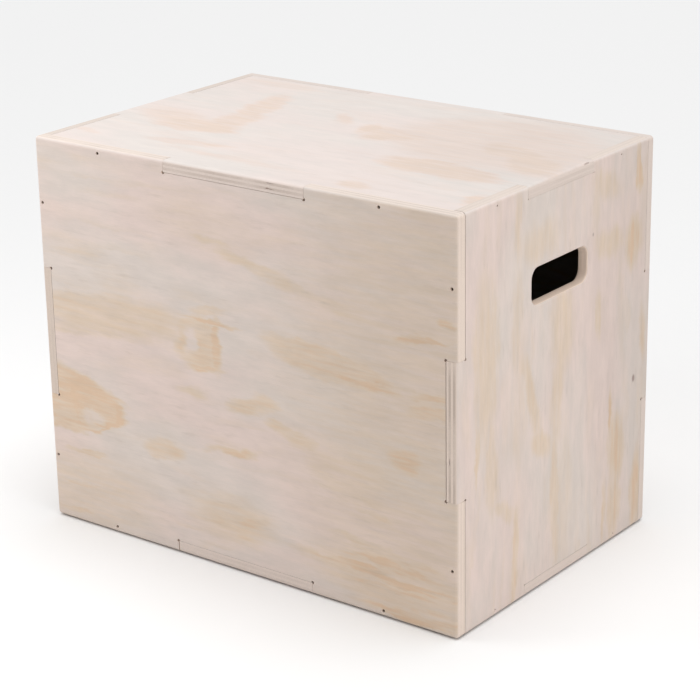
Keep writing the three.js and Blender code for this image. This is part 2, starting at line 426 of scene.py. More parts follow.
def pilot_cutters(low, high):
    """Pilots for the screws whose thread runs into the board between these two corners."""
    cutters = []
    for head, direction in SCREWS.values():
        length = SCREW_LENGTH + PILOT_SPARE
        tip = head - direction * length
        if all(low[i] - PILOT_SPARE < tip[i] < high[i] + PILOT_SPARE for i in range(3)):
            circle = arc(Vector((0, 0)), PILOT_RADIUS, 0, 360, HOLE_STEPS)[:-1]
            pilot = loft("pilot", [lifted(circle, 0), lifted(circle, length)])
            cutters.append(placed(pilot, turned_to(direction, tip)))
    return cutters


def void_cutter(centre, size, seed):
    """A ragged pocket where a core ply has a gap."""
    body = bmesh.new()
    bmesh.ops.create_icosphere(body, subdivisions=VOID_DETAIL, radius=0.5)
    for vertex in body.verts:
        wobble = noise.noise(vertex.co * VOID_WOBBLE_SCALE + Vector((seed, 0, 0)))
        vertex.co *= 1 + VOID_WOBBLE * wobble
    bmesh.ops.scale(body, vec=size, verts=body.verts)
    bmesh.ops.translate(body, vec=centre, verts=body.verts)
    return mesh_from(body, "void")


# Gaps in the plies that show at the edges of the tabs, by board: middle and size.
CORE_VOIDS = {
    "top_panel": (
        (Vector((64 * MM, FRONT_FACE, TOP_FACE - 12.4 * MM)), Vector((6, 4, 2.2)) * MM),
        (Vector((71 * MM, FRONT_FACE, TOP_FACE - 12.8 * MM)), Vector((9, 3, 1.0)) * MM),
        (Vector((70 * MM, FRONT_FACE, TOP_FACE - 4.6 * MM)), Vector((17, 3, 1.1)) * MM),
        (Vector((RIGHT_FACE - 1 * MM, 67 * MM, TOP_FACE - 2.2 * MM)), Vector((5, 15, 3)) * MM),
    ),
    "right_end_panel": (
        (Vector((RIGHT_FACE - 13 * MM, FRONT_FACE, 262 * MM)), Vector((1.4, 3, 12)) * MM),
    ),
}


def make_board(name, envelope):
    board = BOARDS[name]
    slacks = {edge: LOOSE_JOINTS.get((name, edge), TIGHT) for edge in EDGES}
    outline = board_outline(board, slacks)
    rings = []
    for offset, height in eased_profile(BOARD - SKIN, ARRIS, ARRIS_STEPS):
        rings.append(lifted(inset(outline, offset), height))
    to_model = board_frame(board)
    made = new_object(name + "_board", placed(loft(name, rings), to_model))
    boolean(made, "INTERSECT", envelope.copy())
    low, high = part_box(name)
    outward = board["across"].cross(board["up"])
    for cutter in screw_cutters(outward) + pilot_cutters(low, high):
        boolean(made, "DIFFERENCE", cutter)
    if name.endswith("end_panel"):
        slot_middle = Matrix.Translation(Z * (SLOT_HEIGHT_ABOVE_BASE - BOX_MIDDLE.z))
        boolean(made, "DIFFERENCE", placed(slot_cutter(), slot_middle @ to_model))
    for seed, (centre, size) in enumerate(CORE_VOIDS.get(name, ())):
        boolean(made, "DIFFERENCE", void_cutter(centre, size, seed))
    smooth_shading(made, BOARD_SMOOTH_LIMIT)
    return made


# ---- Screws ----

def thread_radius(depth, turn):
    """The threaded part's radius at a depth below the head and a share of a turn."""
    above_tip = SCREW_LENGTH - depth
    taper = min(1, max(0, above_tip / TIP_LENGTH)) ** TIP_ROUNDNESS
    phase = (depth / THREAD_PITCH + turn) % 1
    crest = max(0, 1 - abs(phase - 0.5) / THREAD_CREST)
    return taper * (THREAD_ROOT + (THREAD_RADIUS - THREAD_ROOT) * crest)


def ring_at(depth, radius_at):
    """A ring of the screw at a depth below its head, whose radius may change round the turn."""
    points = []
    for i in range(SCREW_SIDES):
        turn = i / SCREW_SIDES
        radius = radius_at(turn)
        angle = 2 * math.pi * turn
        points.append(Vector((radius * math.cos(angle), radius * math.sin(angle), -depth)))
    return points


def screw_mesh():
    """A trim-head screw about its own axis: the head's top at the origin, the tip along -Z."""
    rings = []
    thread_steps = round((SCREW_LENGTH - SMOOTH_LENGTH) / THREAD_PITCH * THREAD_STEPS)
    for i in range(thread_steps + 1):
        depth = SCREW_LENGTH - (SCREW_LENGTH - SMOOTH_LENGTH) * i / thread_steps
        depth = min(depth, SCREW_LENGTH - TIP_BLUNTNESS)
        fade = min(1, (depth - SMOOTH_LENGTH) / THREAD_PITCH)
        rings.append(ring_at(depth, lambda turn: (
            fade * thread_radius(depth, turn) + (1 - fade) * SHANK_RADIUS
        )))
    rings.append(ring_at(HEAD_HEIGHT, lambda turn: SHANK_RADIUS))
    for i in range(1, HEAD_STEPS + 1):
        share = i / HEAD_STEPS
        depth = HEAD_HEIGHT + (HEAD_RIM - HEAD_HEIGHT) * share
        flare = SHANK_RADIUS + (HEAD_RADIUS - SHANK_RADIUS) * math.sin(share * math.pi / 2)
        rings.append(ring_at(depth, lambda turn: flare))
    rings.append(ring_at(HEAD_CHAMFER, lambda turn: HEAD_RADIUS))
    rings.append(ring_at(0, lambda turn: HEAD_RADIUS - HEAD_CHAMFER))
    made = new_object("screw_blank", loft("screw", rings))
    boolean(made, "DIFFERENCE", drive_cutter())
    smooth_shading(made, SCREW_SMOOTH_LIMIT)
    mesh = made.data
    bpy.data.objects.remove(made)
    return mesh


def drive_cutter():
    """The square drive recess, which narrows a little towards its floor."""
    top = rounded_rectangle(DRIVE_WIDTH, DRIVE_WIDTH, DRIVE_CORNER, DRIVE_CORNER_STEPS)
    floor = inset(top, DRIVE_TAPER)
    return loft("drive", [lifted(floor, -DRIVE_DEPTH), lifted(top, 0), lifted(top, OVERRUN)])


# ---- Shader nodes ----

class Nodes:
    """Writes one material. Most methods add nodes and return what comes out of the last one."""

    def __init__(self, name):
        self.material = bpy.data.materials.new(name)
        self.material.use_nodes = True
        self.tree = self.material.node_tree
        self.shader = self.tree.nodes["Principled BSDF"]

    def feed(self, socket, value):
        if isinstance(value, bpy.types.NodeSocket):
            self.tree.links.new(value, socket)
        else:
            socket.default_value = value

    def add(self, kind, values=(), **settings):
        node = self.tree.nodes.new(kind)
        for key, value in settings.items():
            setattr(node, key, value)
        for socket, value in zip(node.inputs, values):
            self.feed(socket, value)
        return node

    def math(self, operation, *values):
        return self.add("ShaderNodeMath", values, operation=operation).outputs[0]

    def product(self, *values):
        result = values[0]
        for value in values[1:]:
            result = self.math("MULTIPLY", result, value)
        return result

    def largest(self, values):
        result = values[0]
        for value in values[1:]:
            result = self.math("MAXIMUM", result, value)
        return result

    def dot(self, vector, direction):
        node = self.add("ShaderNodeVectorMath", (vector, direction), operation="DOT_PRODUCT")
        return node.outputs["Value"]

    def length(self, vector):
        return self.add("ShaderNodeVectorMath", (vector,), operation="LENGTH").outputs["Value"]

    def combine(self, x, y, z=0.0):
        return self.add("ShaderNodeCombineXYZ", (x, y, z)).outputs[0]

    def noise(self, x, y, scale_x, scale_y, seed, detail=2.0, roughness=0.5):
        """Noise from 0 to 1 that varies scale_x times a metre along x and scale_y along y."""
        stretched = [self.math("MULTIPLY", x, scale_x), self.math("MULTIPLY", y, scale_y)]
        place = self.combine(*stretched, seed)
        node = self.add("ShaderNodeTexNoise")
        self.feed(node.inputs["Vector"], place)
        node.inputs["Scale"].default_value = 1
        node.inputs["Detail"].default_value = detail
        node.inputs["Roughness"].default_value = roughness
        return node.outputs[0]

    def swing(self, value, size):
        """Noise from 0 to 1 turned into a value from -size to size."""
        return self.math("MULTIPLY", self.math("SUBTRACT", value, 0.5), 2 * size)

    def fade(self, value, start, end, low=0.0, high=1.0):
        """Goes smoothly from low to high as the value goes from start to end."""
        node = self.add("ShaderNodeMapRange", interpolation_type="SMOOTHSTEP")
        for name, given in (
            ("Value", value), ("From Min", start), ("From Max", end), ("To Min", low), ("To Max", high),
        ):
            self.feed(node.inputs[name], given)
        return node.outputs[0]

    def mix_value(self, share, first, second):
        node = self.add("ShaderNodeMix", data_type="FLOAT")
        self.feed(node.inputs[0], share)
        self.feed(node.inputs[2], first)
        self.feed(node.inputs[3], second)
        return node.outputs[0]

    def mix(self, share, first, second):
        node = self.add("ShaderNodeMix", data_type="RGBA")
        self.feed(node.inputs[0], share)
        self.feed(node.inputs[6], first)
        self.feed(node.inputs[7], second)
        return node.outputs[2]

    def scale_colour(self, colour, value):
        node = self.add("ShaderNodeVectorMath", (colour,), operation="SCALE")
        self.feed(node.inputs["Scale"], value)
        return node.outputs[0]


# ---- Plywood ----

# Pine veneer's colours, as linear red, green and blue.
EARLY_GREY = (0.695, 0.609, 0.553, 1)
EARLY_PINK = (0.730, 0.599, 0.544, 1)
LATE_TAN = (0.695, 0.562, 0.445, 1)
LATE_ORANGE = (0.690, 0.505, 0.360, 1)
LATE_PEACH = (0.722, 0.550, 0.458, 1)
LATE_ROSE = (0.690, 0.498, 0.372, 1)
FLECK_BROWN = (0.500, 0.410, 0.345, 1)
KNOT_BROWN = (0.330, 0.235, 0.210, 1)
# Painted light: the pale that upward faces at the top are mixed towards.
PAINTED_TOP_LIGHT = (0.900, 0.895, 0.890, 1)
EDGE_GRAIN = (0.785, 0.655, 0.565, 1)
EDGE_PINK = (0.735, 0.625, 0.560, 1)
END_GRAIN = (0.480, 0.385, 0.325, 1)
GLUE_LINE = (0.330, 0.230, 0.170, 1)
# Painted light: the pale that the hand slots' walls are mixed towards.
PAINTED_SLOT_LIGHT = (0.950, 0.770, 0.640, 1)

# How far the latewood's outlines stray from the plain figures: wander and comb along the grain,
# sway and ripple across it.
WANDER = 20 * MM
COMB = 6 * MM
SWAY = 14 * MM
RIPPLE = 13 * MM

# The growth rings between the figures: how far apart they are, and how many rings they drift.
RING_SPACING = 31 * MM
RING_DRIFT = 6

# Shades and strengths, as shares.
BAND_STRENGTH = 0.30
WASH_STRENGTH = 0.30
FLECK_STRENGTH = 0.36
# How much darker the darkened figures are; most of them are painted shade.
DARKENED_SHADE = 0.90
# Painted shade on the inside faces.
INSIDE_PAINTED_SHADE = 0.45
# Painted light on the top's upward faces, and its share on their cut edges.
TOP_PAINTED_LIGHT_STRENGTH = 0.32
TOP_EDGE_PAINTED_LIGHT_SHARE = 0.6
# Painted light in the hand slots.
SLOT_PAINTED_LIGHT_STRENGTH = 0.82
GLUE_STRENGTH = 0.3

# The cut edges' end grain: pores and darker patches a metre.
PORES = 900
END_PATCHES = 14

# The bare wood's surface.
WOOD_SPECULAR = 0.3
GRAIN_BUMP = 0.3
GRAIN_DEPTH = 0.12 * MM


class Figure:
    """One figure on a veneer's face: where it is from the face's upper left corner and half its
    size, in millimetres, and how strong and how soft-edged it is.

    A patch and a ring are latewood, a pale eye has none, a knot is dark and a darkened figure is a
    broad area a little darker than the rest, mostly painted shade where a face is less lit.
    """

    def __init__(self, across, down, wide, tall, tilt=0, amount=0.6, soft=0.4, kind="patch"):
        self.centre = (across * MM, down * MM, 0)
        self.size = (wide * MM, tall * MM, 1)
        self.tilt = math.radians(tilt)
        self.amount = amount
        self.soft = soft
        self.kind = kind


def figure_strength(nodes, place, figure):
    mapped = nodes.add("ShaderNodeMapping", vector_type="TEXTURE")
    nodes.feed(mapped.inputs["Vector"], place)
    mapped.inputs["Location"].default_value = figure.centre
    mapped.inputs["Rotation"].default_value = (0, 0, figure.tilt)
    mapped.inputs["Scale"].default_value = figure.size
    away = nodes.length(mapped.outputs[0])
    if figure.kind == "ring":
        away = nodes.math("ABSOLUTE", nodes.math("SUBTRACT", away, 1))
        return nodes.fade(away, figure.soft, 0.0, 0.0, figure.amount)
    return nodes.fade(away, 1 + figure.soft, 1 - figure.soft, 0.0, figure.amount)


def latewood_share(nodes, along, beside, upright, seed, figures):
    """How strongly latewood, knots and darkened figures (mostly painted shade) show: 0 is not at all
    and 1 is fully.
    """
    # Fibres run along the grain, so the figures' outlines are drawn out that way. A knot stays put.
    sway = nodes.swing(nodes.noise(along, beside, 6, 16, seed, detail=3), SWAY)
    ripple = nodes.swing(nodes.noise(along, beside, 22, 42, seed + 2, detail=3, roughness=0.6), RIPPLE)
    wander = nodes.swing(nodes.noise(along, beside, 12, 34, seed + 3, detail=3), WANDER)
    comb = nodes.swing(nodes.noise(along, beside, 9, 200, seed + 5), COMB)
    flow_along = nodes.math("ADD", along, nodes.math("ADD", wander, comb))
    flow_beside = nodes.math("ADD", beside, nodes.math("ADD", sway, ripple))
    flow = (flow_beside, flow_along) if upright else (flow_along, flow_beside)
    still = (beside, along) if upright else (along, beside)
    still_place = nodes.combine(*still)
    flowing_place = nodes.combine(*flow)
    strengths = {"patch": [], "pale": [], "knot": [0.0], "darkened": [0.0]}
    for figure in figures:
        kind = "patch" if figure.kind == "ring" else figure.kind
        place = still_place if kind == "knot" else flowing_place
        strengths[kind].append(figure_strength(nodes, place, figure))
    share = nodes.largest(strengths["patch"])
    for eye in strengths["pale"]:
        share = nodes.math("MULTIPLY", share, nodes.math("SUBTRACT", 1, eye))
    knot = nodes.largest(strengths["knot"])
    darkening = nodes.largest(strengths["darkened"])

    # Growth rings cut at a low angle: bands that rise slowly and end sharply.
    drift = nodes.noise(along, beside, 1.7, 5, seed + 7)
    rings_across = nodes.math("DIVIDE", flow_beside, RING_SPACING)
    ring = nodes.math("FRACT", nodes.math("MULTIPLY_ADD", drift, RING_DRIFT, rings_across))
    band = nodes.math("MULTIPLY", nodes.fade(ring, 0.25, 0.85), nodes.fade(ring, 1.0, 0.88))
    where = nodes.fade(nodes.noise(along, beside, 4, 13, seed + 11), 0.38, 0.68)
    bands = nodes.product(band, where, BAND_STRENGTH)
    wash_noise = nodes.noise(along, beside, 5, 17, seed + 13, detail=3)
    wash = nodes.fade(wash_noise, 0.48, 0.70, 0.0, WASH_STRENGTH)
    share = nodes.largest([share, bands, wash])
    threads = nodes.noise(along, beside, 12, 130, seed + 17, detail=4, roughness=0.6)
    share = nodes.math("MULTIPLY", share, nodes.fade(threads, 0.28, 0.72, 0.60, 1.22))
    return share, knot, darkening


def veneer_colour(nodes, along, beside, upright, face):
    """The colour of a board's outer veneer, and the noises that its relief is made from."""
    seed = face["seed"]
    latewood, knot, darkening = latewood_share(nodes, along, beside, upright, seed, face["figures"])
    cloud = nodes.noise(along, beside, 3, 7, seed + 23)
    mottle = nodes.noise(along, beside, 12, 44, seed + 25, detail=4, roughness=0.6)
    tint = nodes.fade(nodes.math("ADD", cloud, nodes.swing(mottle, 0.12)), 0.36, 0.64)
    colour = nodes.mix(tint, EARLY_GREY, EARLY_PINK)
    colour = nodes.mix(nodes.fade(latewood, 0.0, 0.7), colour, face["latewood"])
    colour = nodes.mix(nodes.fade(latewood, 0.55, 1.05), colour, face["deep_latewood"])
    flecks = nodes.noise(along, beside, 20, 135, seed + 27, detail=4, roughness=0.55)
    flecked = nodes.fade(nodes.noise(along, beside, 6, 12, seed + 28, detail=1), 0.38, 0.58)
    fleck_share = nodes.product(nodes.fade(flecks, 0.52, 0.80, 0.0, FLECK_STRENGTH), flecked)
    colour = nodes.mix(fleck_share, colour, FLECK_BROWN)
    colour = nodes.mix(knot, colour, KNOT_BROWN)
    streaks = nodes.noise(along, beside, 9, 170, seed + 29, detail=4, roughness=0.62)
    fibres = nodes.noise(along, beside, 60, 1500, seed + 31, detail=3, roughness=0.6)
    # The darkened figures paint shade where a face is less lit.
    shade = nodes.product(
        nodes.fade(streaks, 0.25, 0.75, 0.980, 1.014),
        nodes.fade(fibres, 0.2, 0.8, 0.96, 1.03),
        nodes.fade(mottle, 0.28, 0.72, 0.956, 1.038),
        nodes.fade(darkening, 0, 1, 1, DARKENED_SHADE),
    )
    return nodes.scale_colour(colour, shade), streaks, fibres


def cut_edge_colour(nodes, point, normal, depth, grain_way, cross_way, face):
    """The plies that show on every cut edge. Every second one runs crosswise to the faces' grain,
    and a ply is darker where its fibres end."""
    layer = nodes.math("DIVIDE", depth, PLY)
    crosswise = nodes.math("PINGPONG", nodes.math("FLOOR", layer), 1)
    facing_grain = nodes.math("ABSOLUTE", nodes.dot(normal, grain_way))
    facing_cross = nodes.math("ABSOLUTE", nodes.dot(normal, cross_way))
    end_on = nodes.mix_value(crosswise, facing_grain, facing_cross)
    pores = nodes.add("ShaderNodeTexNoise")
    nodes.feed(pores.inputs["Vector"], point)
    pores.inputs["Scale"].default_value = PORES
    patches = nodes.add("ShaderNodeTexNoise", noise_dimensions="4D")
    nodes.feed(patches.inputs["Vector"], point)
    patches.inputs["W"].default_value = face["seed"]
    patches.inputs["Scale"].default_value = END_PATCHES
    end_share = nodes.product(
        nodes.fade(end_on, 0.5, 0.95),
        nodes.fade(patches.outputs[0], 0.38, 0.62, 0.30, 0.80),
        nodes.fade(crosswise, 0.0, 1.0, 0.35, 1.0),
        face["ply_contrast"],
    )
    edge = nodes.mix(end_share, face["edge"], END_GRAIN)
    pore_shade = nodes.fade(pores.outputs[0], 0.3, 0.7, 0.94, 1.04)
    edge = nodes.scale_colour(edge, nodes.product(pore_shade, face["edge_shade"]))
    # Glue lines, at the whole numbers of layers, but not on the board's two faces.
    after_glue = nodes.math("FRACT", nodes.math("ADD", layer, 0.5))
    from_glue = nodes.math("ABSOLUTE", nodes.math("SUBTRACT", after_glue, 0.5))
    inner = nodes.product(
        nodes.fade(layer, 0.6, 0.8), nodes.fade(layer, PLIES - 0.6, PLIES - 0.8),
    )
    glue_share = nodes.fade(from_glue, 0.05, 0.01, 0.0, GLUE_STRENGTH * face["ply_contrast"])
    return nodes.mix(nodes.product(glue_share, inner), edge, GLUE_LINE)


def slot_painted_light_share(nodes, across, down):
    """Painted light: how much paler the hand slot's walls are painted than other cut edges; 0
    elsewhere.
    """
    sideways = nodes.math("SUBTRACT", across, BOX_SIZE.y / 2)
    upwards = nodes.math("SUBTRACT", down, BOX_HIGH.z - SLOT_HEIGHT_ABOVE_BASE)
    away = nodes.length(nodes.combine(sideways, upwards))
    return nodes.fade(away, SLOT_LENGTH * 0.7, SLOT_LENGTH * 0.6, 0.0, SLOT_PAINTED_LIGHT_STRENGTH)


def plywood(board_name, face):
    """A pine plywood material for one board, in the model's own coordinates."""
    board = BOARDS[board_name]
    right, up = board["across"], board["up"]
    outward = right.cross(up)
    # The face's upper left corner, which `across`, `down` and `depth` are measured from.
    deep, wide, tall = (size_along(direction) for direction in (outward, right, up))
    corner = BOX_MIDDLE + (outward * deep - right * wide + up * tall) / 2
    nodes = Nodes(board_name + "_veneer")
    point = nodes.add("ShaderNodeTexCoord").outputs["Object"]
    normal = nodes.add("ShaderNodeNewGeometry").outputs["Normal"]
    across = nodes.math("SUBTRACT", nodes.dot(point, right), corner.dot(right))
    down = nodes.math("SUBTRACT", corner.dot(up), nodes.dot(point, up))
    depth = nodes.math("SUBTRACT", corner.dot(outward), nodes.dot(point, outward))
    upright = board["grain"] == "up"
    along, beside = (down, across) if upright else (across, down)
    grain_way, cross_way = (up, right) if upright else (right, up)

    veneer, streaks, fibres = veneer_colour(nodes, along, beside, upright, face)
    edge = cut_edge_colour(nodes, point, normal, depth, grain_way, cross_way, face)
    # Painted light: the hand slots' walls are painted paler, as if lit from outside.
    if board_name.endswith("end_panel"):
        edge = nodes.mix(slot_painted_light_share(nodes, across, down), edge, PAINTED_SLOT_LIGHT)
    facing_out = nodes.dot(normal, outward)
    edge_share = nodes.fade(nodes.math("ABSOLUTE", facing_out), 0.75, 0.45)
    colour = nodes.mix(edge_share, veneer, edge)
    # Painted shade: the inside faces, seen only through the hand slots, are darkened as if in the box's
    # shadow.
    colour = nodes.scale_colour(colour, nodes.fade(facing_out, -0.5, -0.8, 1.0, INSIDE_PAINTED_SHADE))
    # The top is sanded flush once the box is together, so every board is paler there.
    # Painted light: near the top, every board is painted paler where it faces up, its cut edges less
    # so.
    painted_top_light = nodes.product(
        nodes.fade(nodes.dot(normal, Z), 0.2, 0.95, 0.0, TOP_PAINTED_LIGHT_STRENGTH),
        nodes.fade(nodes.dot(point, Z), TOP_FACE - 2 * OUTER_RADIUS, TOP_FACE - OUTER_RADIUS),
        nodes.fade(edge_share, 0, 1, 1, TOP_EDGE_PAINTED_LIGHT_SHARE),
    )
    colour = nodes.mix(painted_top_light, colour, PAINTED_TOP_LIGHT)
    nodes.feed(nodes.shader.inputs["Base Color"], colour)

    nodes.feed(nodes.shader.inputs["Roughness"], nodes.fade(streaks, 0.2, 0.8, 0.58, 0.74))
    nodes.shader.inputs["Specular IOR Level"].default_value = WOOD_SPECULAR
    bump = nodes.add("ShaderNodeBump")
    bump.inputs["Strength"].default_value = GRAIN_BUMP
    bump.inputs["Distance"].default_value = GRAIN_DEPTH
    nodes.feed(bump.inputs["Height"], nodes.math("ADD", fibres, nodes.math("MULTIPLY", streaks, 0.8)))
    nodes.feed(nodes.shader.inputs["Normal"], bump.outputs[0])
    return nodes.material


def flame(across, down, wide, tall, tilt, drift):
    """The nested arches that flat-sliced pine shows. Each ring lies `drift` mm on from the one
    outside it, along the grain."""
    figures = [Figure(across, down, wide, tall, tilt, 0.38, 0.30)]
    along_x = wide > tall
    for i, amount in enumerate((0.62, 0.80, 0.95)):
        share = 1 - 0.30 * i
        shift = drift * i
        middle = (across + shift, down) if along_x else (across, down + shift)
        soft = 0.10 + 0.06 * i
        figures.append(Figure(*middle, wide * share, tall * share, tilt, amount, soft, "ring"))
    return tuple(figures)


FRONT_FIGURES = (
    # The right third is tanner than the rest.
    Figure(760, 280, 290, 440, 0, 0.46, 0.60),
    # Painted shade: the right third is also darker, as if less lit.
    Figure(790, 220, 300, 420, 0, 0.62, 0.60, "darkened"),
    # The broad wedge at the left edge, darkest round its rim, with a pale eye.
    Figure(14, 399, 96, 52, 10, 0.90, 0.20),
    Figure(92, 408, 60, 32, 10, 0.96, 0.26),
    Figure(80, 376, 74, 10, 18, 1.05, 0.60),
    Figure(98, 412, 50, 22, 8, 1.20, 0.40, "ring"),
    Figure(84, 431, 36, 18, 4, 1.00, 0.35, "ring"),
    Figure(86, 428, 26, 8, -6, 0.66, 0.45, "pale"),
    Figure(40, 450, 60, 8, -6, 0.90, 0.50),
    # The loop near the middle, and the tan that runs into it from the left.
    Figure(342, 262, 10, 42, 3, 0.98, 0.50),
    Figure(306, 264, 44, 42, -6, 0.74, 0.30),
    Figure(316, 300, 36, 7, -4, 0.95, 0.55),
    Figure(331, 229, 54, 4, 2, 1.05, 0.60),
    Figure(330, 212, 34, 7, -8, 0.55, 0.60),
    Figure(292, 265, 12, 15, 0, 0.95, 0.45, "pale"),
    Figure(130, 256, 170, 34, -4, 0.62, 0.40),
    Figure(60, 288, 60, 12, -8, 0.50, 0.50),
    Figure(210, 234, 70, 6, -4, 0.45, 0.60),
    # The long lens at the right, stronger along its lower edge.
    Figure(548, 250, 120, 25, 6, 0.72, 0.25),
    Figure(612, 266, 66, 8, 3, 0.92, 0.50),
    Figure(600, 232, 90, 4, 5, 0.45, 0.60),
    # A faint line falls from the upper middle to an orange one at the right.
    Figure(330, 84, 120, 44, 8, 0.30, 0.60),
    Figure(338, 104, 44, 7, 8, 0.62, 0.60),
    Figure(430, 134, 110, 10, 14, 0.60, 0.60),
    Figure(560, 164, 100, 11, 9, 0.56, 0.60),
    Figure(706, 184, 50, 6, -8, 1.05, 0.60),
    Figure(744, 152, 20, 10, 0, 1.00, 0.60),
    # Patches at the right end.
    Figure(716, 264, 44, 9, -6, 0.95, 0.60),
    Figure(720, 288, 48, 12, -6, 0.85, 0.60),
    Figure(676, 362, 30, 22, 0, 0.92, 0.60),
    # Across the middle.
    Figure(392, 345, 34, 12, -14, 0.78, 0.60),
    Figure(428, 332, 28, 14, -4, 0.72, 0.60),
    Figure(454, 364, 30, 11, 16, 0.70, 0.60),
    Figure(492, 376, 34, 12, 10, 0.74, 0.60),
    Figure(292, 342, 34, 9, 0, 0.62, 0.60),
    Figure(364, 421, 50, 7, -6, 0.85, 0.60),
    Figure(230, 448, 38, 18, 0, 0.74, 0.45),
    Figure(585, 410, 90, 48, 6, 0.54, 0.50),
    Figure(588, 440, 90, 4, 8, 0.55, 0.60),
    Figure(620, 456, 44, 5, 6, 0.62, 0.60),
    # Streaks along the lower edge.
    Figure(660, 550, 160, 56, 3, 0.60, 0.50),
    Figure(362, 530, 84, 40, 0, 0.56, 0.55),
    Figure(620, 506, 80, 7, 3, 0.70, 0.60),
    Figure(700, 516, 60, 6, 3, 0.70, 0.60),
    Figure(652, 528, 110, 8, 3, 0.90, 0.60),
    Figure(640, 547, 150, 9, 3, 1.10, 0.60),
    Figure(664, 563, 100, 7, 2, 0.86, 0.60),
    Figure(710, 579, 60, 5, 2, 0.70, 0.60),
    Figure(690, 595, 110, 9, -2, 0.90, 0.60),
    Figure(504, 543, 30, 5, 0, 0.45, 0.60),
    Figure(328, 536, 26, 14, 24, 0.70, 0.70),
    Figure(398, 526, 34, 13, -16, 0.76, 0.70),
    Figure(386, 548, 26, 10, 10, 0.66, 0.70),
    Figure(290, 502, 40, 8, -10, 0.36, 0.60),
    Figure(72, 487, 44, 6, 0, 0.78, 0.50),
    Figure(60, 549, 56, 4, -4, 0.66, 0.60),
    Figure(140, 542, 40, 5, -4, 0.50, 0.60),
    Figure(40, 593, 50, 6, -4, 0.72, 0.60),
    Figure(70, 550, 150, 70, -2, 0.42, 0.60),
    # A faint streak at the upper left.
    Figure(76, 166, 50, 9, -3, 0.42, 0.70),
)

RIGHT_FIGURES = (
    # Painted shade: the rear third is darker than the rest, as if less lit.
    Figure(520, 250, 180, 420, 0, 0.70, 0.55, "darkened"),
    # Under the slot, two arms that join and run on down.
    Figure(262, 230, 32, 66, 0, 0.56, 0.50),
    Figure(250, 330, 17, 90, 0, 0.52, 0.55),
    Figure(248, 490, 12, 110, 0, 0.60, 0.50),
    Figure(180, 305, 15, 74, -20, 0.62, 0.55),
    Figure(212, 386, 34, 17, 30, 0.60, 0.60),
    # The left-hand band, and the curve below it.
    Figure(68, 222, 32, 130, 0, 0.56, 0.45),
    Figure(47, 350, 5, 50, 0, 0.72, 0.60),
    Figure(86, 386, 16, 70, 0, 0.56, 0.55),
    Figure(116, 456, 34, 13, 34, 0.56, 0.55),
    Figure(146, 540, 10, 80, 0, 0.78, 0.50),
    # Over the slot and to its left.
    Figure(144, 50, 10, 52, 0, 0.52, 0.60),
    Figure(145, 190, 13, 90, 0, 0.44, 0.60),
    Figure(200, 84, 50, 30, 0, 0.48, 0.60),
    # The rear edge, which is the warmest.
    Figure(468, 40, 8, 36, 0, 1.00, 0.55),
    Figure(372, 44, 40, 22, 24, 0.56, 0.65),
    Figure(454, 146, 24, 38, 0, 0.95, 0.55),
    Figure(384, 134, 40, 22, 20, 0.62, 0.65),
    Figure(346, 62, 14, 60, 0, 0.36, 0.65),
    Figure(360, 236, 8, 36, 0, 0.66, 0.60),
    Figure(399, 404, 5, 34, 0, 1.05, 0.55),
    Figure(418, 462, 24, 56, 0, 0.84, 0.50),
    Figure(414, 550, 18, 60, 0, 0.74, 0.60),
    Figure(384, 556, 6, 50, 0, 0.66, 0.60),
    Figure(486, 300, 9, 44, 0, 0.66, 0.60),
    Figure(480, 545, 13, 66, 0, 0.90, 0.60),
    # Two small knots.
    Figure(464, 365, 3.5, 5.5, 0, 0.85, 0.5, "knot"),
    Figure(340, 110, 1.8, 2.6, 0, 0.60, 0.5, "knot"),
)

TOP_FIGURES = (
    # The hooked flame at the left.
    Figure(174, 184, 27, 88, -15, 0.90, 0.38),
    Figure(190, 268, 32, 62, -4, 0.90, 0.40),
    Figure(158, 324, 76, 34, -6, 0.98, 0.34),
    Figure(196, 332, 40, 22, -6, 1.14, 0.50),
    Figure(92, 298, 68, 32, 12, 0.76, 0.55),
    # The broad field at the right, darkened as painted shade, and the two flames in it.
    Figure(700, 170, 240, 210, 0, 0.72, 0.50, "darkened"),
    Figure(598, 170, 175, 136, 6, 0.62, 0.28),
    Figure(640, 196, 64, 36, 24, 1.08, 0.55),
    Figure(706, 246, 64, 38, 30, 1.08, 0.55),
    Figure(612, 334, 104, 35, 3, 1.04, 0.26),
    Figure(560, 340, 46, 25, 20, 1.20, 0.45),
    # The smaller flame in the middle, and a short streak to its left.
    Figure(438, 208, 58, 32, 16, 0.88, 0.45),
    Figure(392, 198, 18, 28, -20, 1.10, 0.60),
    Figure(426, 236, 26, 22, -10, 1.00, 0.60),
    Figure(480, 206, 34, 14, 10, 0.85, 0.60),
    Figure(324, 170, 34, 12, 52, 0.80, 0.60),
    # The front edge.
    Figure(220, 410, 68, 20, -8, 0.64, 0.45),
    Figure(264, 402, 28, 10, -6, 0.90, 0.60),
    Figure(564, 466, 26, 16, 0, 1.00, 0.60),
    Figure(738, 436, 15, 25, 0, 1.10, 0.60),
    Figure(330, 446, 130, 12, 2, 0.48, 0.60),
    Figure(40, 436, 26, 11, 10, 0.62, 0.60),
    # A faint streak at the rear left.
    Figure(100, 44, 86, 19, 0, 0.48, 0.60),
)

